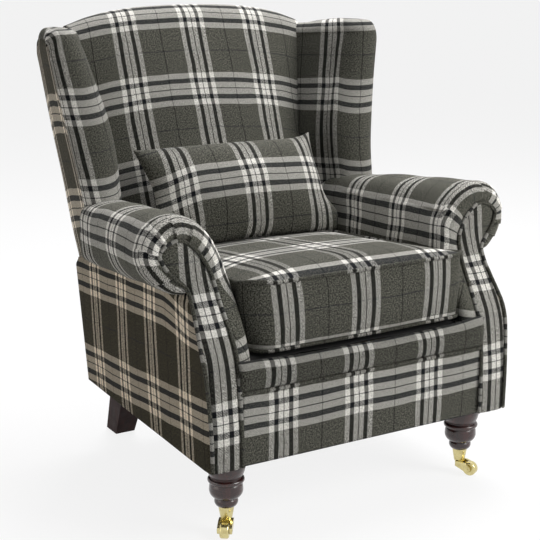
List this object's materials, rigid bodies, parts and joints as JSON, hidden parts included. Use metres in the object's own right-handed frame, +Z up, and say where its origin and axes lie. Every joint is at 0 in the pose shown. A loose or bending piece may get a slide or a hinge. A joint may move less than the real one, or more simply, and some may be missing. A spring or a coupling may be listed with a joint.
{
  "type": "wing armchair",
  "caption": "Fireside wing chair with rolled arms, loose seat and scatter cushions, turned front legs on swivel castors and raked square rear legs.",
  "frame": {"origin": "on the floor, under the middle of the chair's outline", "axes": "+Z up, +X to the right of someone looking at the front, the chair faces -Y"},
  "size_m": [0.9056, 0.8484, 1.04],
  "materials": {
    "tartan": "woven wool-look check",
    "tartan_dark": "woven wool-look check, outside panels",
    "welt": "covered piping cord",
    "hardwood": "raw planed hardwood",
    "dark_wood": "satin lacquer, dark stain",
    "brass": "polished",
    "steel": "zinc plated",
    "hessian": "coarse jute",
    "webbing": "elastic webbing",
    "lining": "black non-woven cloth",
    "foam": "cut foam",
    "fibre": "fibre filled inner",
    "zip": "coil zip on tape",
    "glide": "nylon nail-on glide"
  },
  "bodies": {
    "chair": {"arm_board_left": "hardwood", "arm_board_right": "hardwood", "arm_facing_left": "tartan", "arm_facing_right": "tartan", "arm_front_board_left": "hardwood", "arm_front_board_right": "hardwood", "arm_pad_left": "tartan", "arm_pad_right": "tartan", "back_hessian": "hessian", "back_post_left": "hardwood", "back_post_right": "hardwood", "back_seat_rail": "hardwood", "back_webbing": "webbing", "castor_cup_left": "brass", "castor_cup_right": "brass", "castor_screws": "brass", "corner_blocks": "hardwood", "crest_rail": "hardwood", "dust_cover": "lining", "facing_welts": "welt", "frame_screws": "steel", "front_border": "tartan", "front_border_welt": "welt", "front_leg_bolts": "steel", "front_leg_left": "dark_wood", "front_leg_right": "dark_wood", "front_lip_roll": "tartan", "front_seat_rail": "hardwood", "inside_back_pad": "tartan", "lower_back_rail": "hardwood", "outside_arm_left": "tartan_dark", "outside_arm_right": "tartan_dark", "outside_back": "tartan_dark", "outside_wing_left": "tartan_dark", "outside_wing_right": "tartan_dark", "rear_leg_glides": "glide", "rear_leg_left": "dark_wood", "rear_leg_right": "dark_wood", "rear_leg_screws": "steel", "seat_hessian": "hessian", "seat_platform_pad": "tartan", "seat_springs": "steel", "side_seat_rail_left": "hardwood", "side_seat_rail_right": "hardwood", "spring_clips": "steel", "wing_board_left": "hardwood", "wing_board_right": "hardwood", "wing_pad_left": "tartan", "wing_pad_right": "tartan"},
    "castor_left": {"castor_horn_left": "brass", "castor_axle_left": "brass"},
    "castor_right": {"castor_horn_right": "brass", "castor_axle_right": "brass"},
    "wheel_left": {"castor_wheel_left": "brass"},
    "wheel_right": {"castor_wheel_right": "brass"},
    "seat_cushion": {"seat_cushion_cover": "tartan", "seat_cushion_core": "foam", "seat_cushion_zip": "zip"},
    "scatter_cushion": {"scatter_cushion_cover": "tartan", "scatter_cushion_filling": "fibre"}
  },
  "joints": [
    {"name": "castor_swivel_left", "type": "hinge", "parent": "chair", "child": "castor_left", "pos_m": [-0.306, -0.3584, 0.0335], "axis": [0, 0, 1], "continuous": true},
    {"name": "wheel_spin_left", "type": "hinge", "parent": "castor_left", "child": "wheel_left", "pos_m": [-0.32266, -0.38091, 0.016], "axis": [0.8039, -0.5948, 0], "continuous": true},
    {"name": "castor_swivel_right", "type": "hinge", "parent": "chair", "child": "castor_right", "pos_m": [0.306, -0.3584, 0.0335], "axis": [0, 0, 1], "continuous": true},
    {"name": "wheel_spin_right", "type": "hinge", "parent": "castor_right", "child": "wheel_right", "pos_m": [0.31783, -0.38378, 0.016], "axis": [0.9063, 0.4226, 0], "continuous": true},
    {"name": "seat_cushion_lift", "type": "slide", "parent": "chair", "child": "seat_cushion", "axis": [0, 0, 1], "range_m": [0, 0.25]},
    {"name": "scatter_cushion_lift", "type": "slide", "parent": "seat_cushion", "child": "scatter_cushion", "axis": [0, 0, 1], "range_m": [0, 0.3]}
  ]
}
